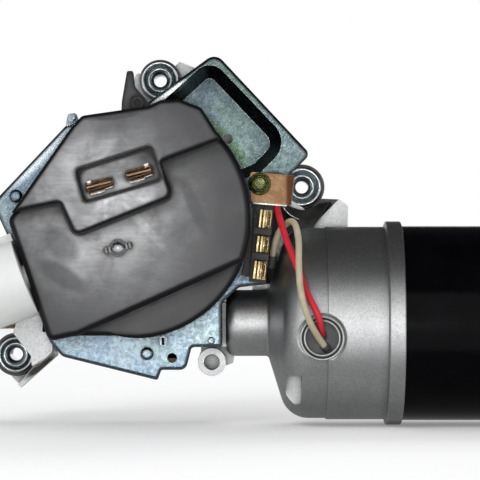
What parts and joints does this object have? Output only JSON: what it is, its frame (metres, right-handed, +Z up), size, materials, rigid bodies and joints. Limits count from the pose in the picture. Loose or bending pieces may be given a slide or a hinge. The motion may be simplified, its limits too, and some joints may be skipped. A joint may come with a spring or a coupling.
{
  "type": "wiper motor",
  "caption": "Windscreen wiper motor: black motor can, cast gearbox with mounting eyes, plated cover and a black washer-pump cover with connector pocket and nylon pump.",
  "frame": {"origin": "where the output shaft's axis meets the bulkhead face that the sleeves rest on", "axes": "+X along the electric motor away from the gearbox, +Y into the bulkhead along the output shaft, +Z up"},
  "size_m": [0.2897, 0.1246, 0.1449],
  "materials": {
    "cast_alloy": "cast, satin",
    "zinc_plate": "zinc plated",
    "black_paint": "gloss",
    "black_plastic": "semi-gloss",
    "white_nylon": "translucent satin",
    "phenolic": "matte",
    "rubber_black": "matte",
    "steel": "machined",
    "dark_steel": "oiled",
    "brass": "satin",
    "copper": "satin",
    "yellow_zinc": "yellow passivated",
    "bronze": "sintered",
    "iron": "laminated",
    "moulded_gear": "moulded",
    "gasket_paper": "fibre",
    "red_insulation": "soft",
    "white_insulation": "soft",
    "carbon": "matte",
    "grey_resin": "matte"
  },
  "bodies": {
    "root": {"adjusting_screw": "yellow_zinc", "blade_terminals": "brass", "brush_card": "phenolic", "brush_holders": "brass", "brush_springs": "steel", "brushes": "carbon", "cover_gasket": "gasket_paper", "cover_rivets": "zinc_plate", "cover_stud": "steel", "field_coils": "copper", "front_bushing": "bronze", "gear_housing": "cast_alloy", "gearbox_cover": "zinc_plate", "ground_screw": "yellow_zinc", "ground_strap": "copper", "intermediate_shaft": "steel", "motor_can": "black_paint", "mounting_grommets": "rubber_black", "mounting_sleeves": "zinc_plate", "output_bushing": "bronze", "park_contact": "brass", "piston_spring": "steel", "pole_shoes": "iron", "pump_body": "white_nylon", "pump_cover": "black_plastic", "pump_frame": "zinc_plate", "pump_screws": "zinc_plate", "pump_terminals": "copper", "rear_bushing": "bronze", "red_lead": "red_insulation", "relay_coil": "copper", "relay_core": "iron", "shaft_seal": "rubber_black", "stud_clip": "dark_steel", "terminal_board": "phenolic", "thrust_washer": "steel", "tie_bolts": "dark_steel", "tip_bushing": "bronze", "valve_cap": "white_nylon", "white_lead": "white_insulation", "wire_plug": "grey_resin"},
    "armature": {"armature_shaft": "steel", "armature_core": "iron", "armature_windings": "copper", "commutator": "copper"},
    "intermediate": {"intermediate_gear": "moulded_gear", "pinion": "steel"},
    "output": {"output_gear": "iron", "output_shaft": "steel", "crank_arm": "yellow_zinc", "crank_nut": "zinc_plate", "ball_stud": "steel", "pump_cam": "moulded_gear"},
    "ratchet": {"ratchet_wheel": "moulded_gear"},
    "pump_slide": {"cam_follower": "zinc_plate", "pump_piston": "white_nylon"},
    "relay_flap": {"relay_armature": "zinc_plate"}
  },
  "joints": [
    {"name": "armature_spin", "type": "hinge", "parent": "root", "child": "armature", "pos_m": [0, -0.042, -0.0395], "axis": [1, 0, 0], "continuous": true},
    {"name": "intermediate_spin", "type": "hinge", "parent": "root", "child": "intermediate", "pos_m": [-0.02396, -0.042, -0.017], "axis": [0, -1, 0], "continuous": true},
    {"name": "output_spin", "type": "hinge", "parent": "root", "child": "output", "pos_m": [0, -0.02, 0], "axis": [0, -1, 0], "continuous": true},
    {"name": "ratchet_spin", "type": "hinge", "parent": "root", "child": "ratchet", "pos_m": [-0.01117, -0.069, -0.00996], "axis": [0, -1, 0], "continuous": true},
    {"name": "pump_stroke", "type": "slide", "parent": "root", "child": "pump_slide", "axis": [-0.9336, 0, -0.3584], "range_m": [0, 0.003], "stiffness_N_per_m": 300, "springref_m": -0.003, "deforming": ["piston_spring"]},
    {"name": "relay_close", "type": "hinge", "parent": "root", "child": "relay_flap", "pos_m": [0.03131, -0.0682, 0.00773], "axis": [0.3584, 0, -0.9336], "range_deg": [0, 5], "stiffness_Nm_per_rad": 0.02, "springref_deg": -5.73}
  ],
  "couplings": [
    {"joint": "intermediate_spin", "follows": "armature_spin", "ratio": -0.083333},
    {"joint": "output_spin", "follows": "armature_spin", "ratio": 0.025463}
  ]
}
